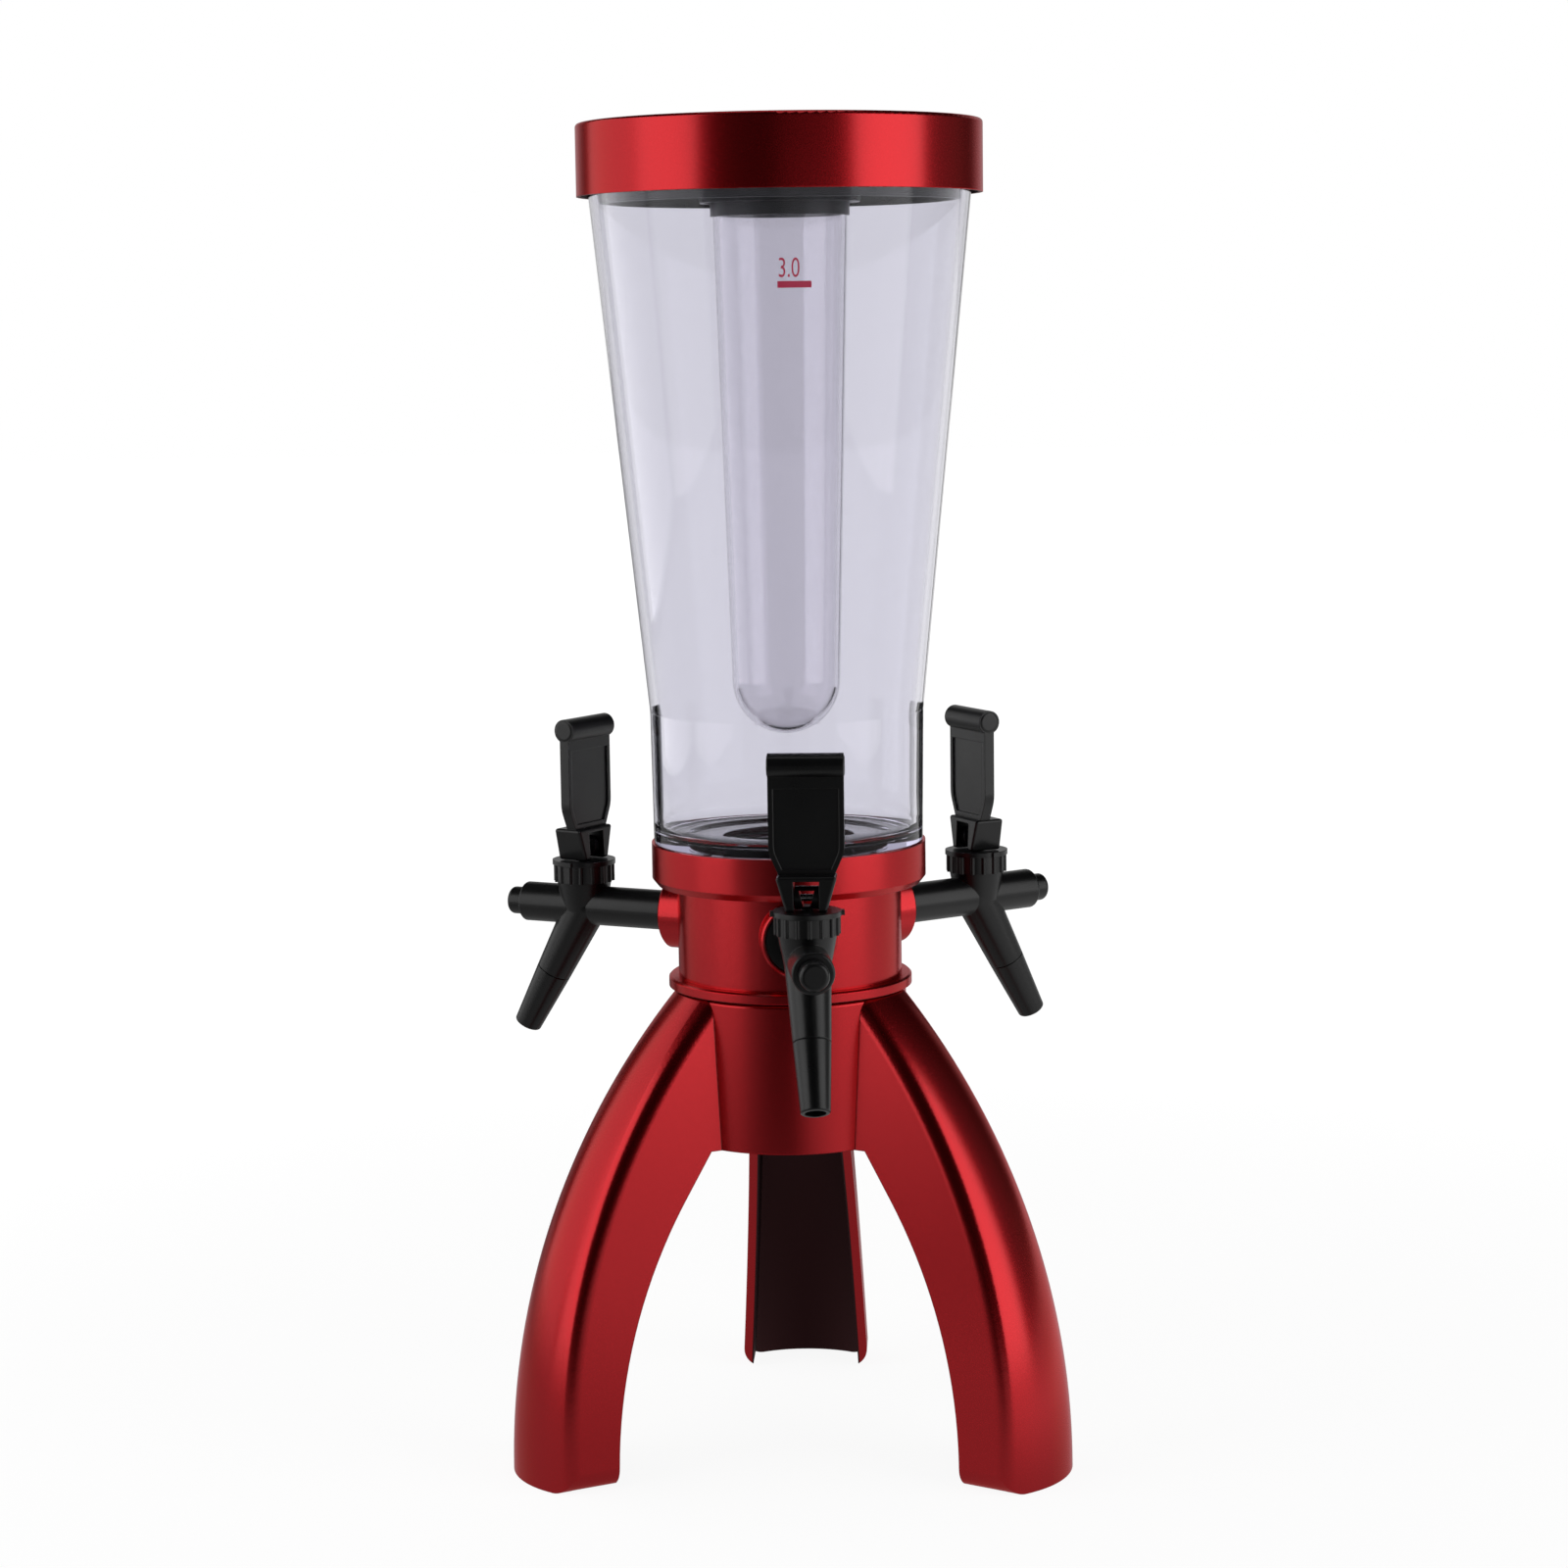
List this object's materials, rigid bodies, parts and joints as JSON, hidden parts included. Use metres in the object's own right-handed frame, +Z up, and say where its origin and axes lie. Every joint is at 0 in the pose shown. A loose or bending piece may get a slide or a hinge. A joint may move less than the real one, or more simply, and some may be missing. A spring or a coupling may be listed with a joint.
{
  "type": "beer tower dispenser",
  "caption": "Tabletop beer tower: tapered clear container with an ice tube in its lid, on a turning neck with lever taps, carried by curved channel legs.",
  "frame": {"origin": "on the floor, where the upright axis of the container and of the tower's swivel meets it", "axes": "+Z up along the upright axis, +Y towards the rear leg, +X to the right seen from the front"},
  "size_m": [0.2623, 0.2836, 0.6],
  "materials": {
    "red_frame": "red plastic with a satin metallic coat",
    "black": "black moulded plastic with a light sheen",
    "clear": "clear moulded plastic",
    "rubber": "black rubber",
    "ring": "dark low-friction plastic",
    "steel": "plain stainless steel"
  },
  "bodies": {
    "base": {"hub": "red_frame", "leg_rear": "red_frame", "leg_left": "red_frame", "leg_right": "red_frame", "leg_screws": "steel", "slip_ring": "ring", "pivot_bolt": "steel", "pivot_nut": "steel"},
    "tower": {"neck": "red_frame", "collar": "red_frame", "collar_screws": "steel", "reservoir_cup": "black", "cup_gasket": "rubber", "container": "clear", "tap_body_front": "black", "port_washer_front": "rubber", "shank_nut_front": "black", "nose_plug_front": "black", "spout_tip_front": "black", "bonnet_seal_front": "rubber", "bonnet_front": "black", "valve_spring_front": "steel", "tap_body_left": "black", "port_washer_left": "rubber", "shank_nut_left": "black", "nose_plug_left": "black", "spout_tip_left": "black", "bonnet_seal_left": "rubber", "bonnet_left": "black", "valve_spring_left": "steel", "tap_body_right": "black", "port_washer_right": "rubber", "shank_nut_right": "black", "nose_plug_right": "black", "spout_tip_right": "black", "bonnet_seal_right": "rubber", "bonnet_right": "black", "valve_spring_right": "steel"},
    "lid": {"lid_shell": "red_frame", "lid_plug": "black", "lid_seal": "rubber"},
    "ice_tube": {"ice_tube": "clear", "tube_ring": "black"},
    "valve_front": {"valve_plug_front": "rubber"},
    "stem_front": {"stem_front": "black", "lever_pin_front": "steel"},
    "lever_front": {"lever_front": "black"},
    "valve_left": {"valve_plug_left": "rubber"},
    "stem_left": {"stem_left": "black", "lever_pin_left": "steel"},
    "lever_left": {"lever_left": "black"},
    "valve_right": {"valve_plug_right": "rubber"},
    "stem_right": {"stem_right": "black", "lever_pin_right": "steel"},
    "lever_right": {"lever_right": "black"}
  },
  "joints": [
    {"name": "tower_swivel", "type": "hinge", "parent": "base", "child": "tower", "pos_m": [0, 0, 0.213], "axis": [0, 0, 1], "continuous": true},
    {"name": "lid_lift", "type": "slide", "parent": "tower", "child": "lid", "axis": [0, 0, 1], "range_m": [0, 0.27]},
    {"name": "tube_twist", "type": "hinge", "parent": "lid", "child": "ice_tube", "pos_m": [0, 0, 0.57], "axis": [0, 0, 1], "range_deg": [0, 25]},
    {"name": "valve_lift_front", "type": "slide", "parent": "tower", "child": "valve_front", "axis": [0, 0, 1], "range_m": [0, 0.0049], "deforming": ["valve_spring_front"]},
    {"name": "handle_swivel_front", "type": "hinge", "parent": "valve_front", "child": "stem_front", "pos_m": [0.01246, -0.10607, 0.2698], "axis": [0, 0, 1], "range_deg": [-60, 60]},
    {"name": "lever_tilt_front", "type": "hinge", "parent": "stem_front", "child": "lever_front", "pos_m": [0.01246, -0.10607, 0.2698], "axis": [1, -0.0052, 0], "range_deg": [0, 35], "stiffness_Nm_per_rad": 0.4, "springref_deg": -5.73},
    {"name": "valve_lift_left", "type": "slide", "parent": "tower", "child": "valve_left", "axis": [0, 0, 1], "range_m": [0, 0.0049], "deforming": ["valve_spring_left"]},
    {"name": "handle_swivel_left", "type": "hinge", "parent": "valve_left", "child": "stem_left", "pos_m": [-0.09809, 0.04224, 0.2698], "axis": [0, 0, 1], "range_deg": [-60, 60]},
    {"name": "lever_tilt_left", "type": "hinge", "parent": "stem_left", "child": "lever_left", "pos_m": [-0.09809, 0.04224, 0.2698], "axis": [-0.5045, -0.8634, 0], "range_deg": [0, 35], "stiffness_Nm_per_rad": 0.4, "springref_deg": -5.73},
    {"name": "valve_lift_right", "type": "slide", "parent": "tower", "child": "valve_right", "axis": [0, 0, 1], "range_m": [0, 0.0049], "deforming": ["valve_spring_right"]},
    {"name": "handle_swivel_right", "type": "hinge", "parent": "valve_right", "child": "stem_right", "pos_m": [0.08563, 0.06383, 0.2698], "axis": [0, 0, 1], "range_deg": [-60, 60]},
    {"name": "lever_tilt_right", "type": "hinge", "parent": "stem_right", "child": "lever_right", "pos_m": [0.08563, 0.06383, 0.2698], "axis": [-0.4955, 0.8686, 0], "range_deg": [0, 35], "stiffness_Nm_per_rad": 0.4, "springref_deg": -5.73}
  ],
  "couplings": [
    {"joint": "valve_lift_front", "follows": "lever_tilt_front", "m_per_rad": 0.0079},
    {"joint": "valve_lift_left", "follows": "lever_tilt_left", "m_per_rad": 0.0079},
    {"joint": "valve_lift_right", "follows": "lever_tilt_right", "m_per_rad": 0.0079}
  ]
}
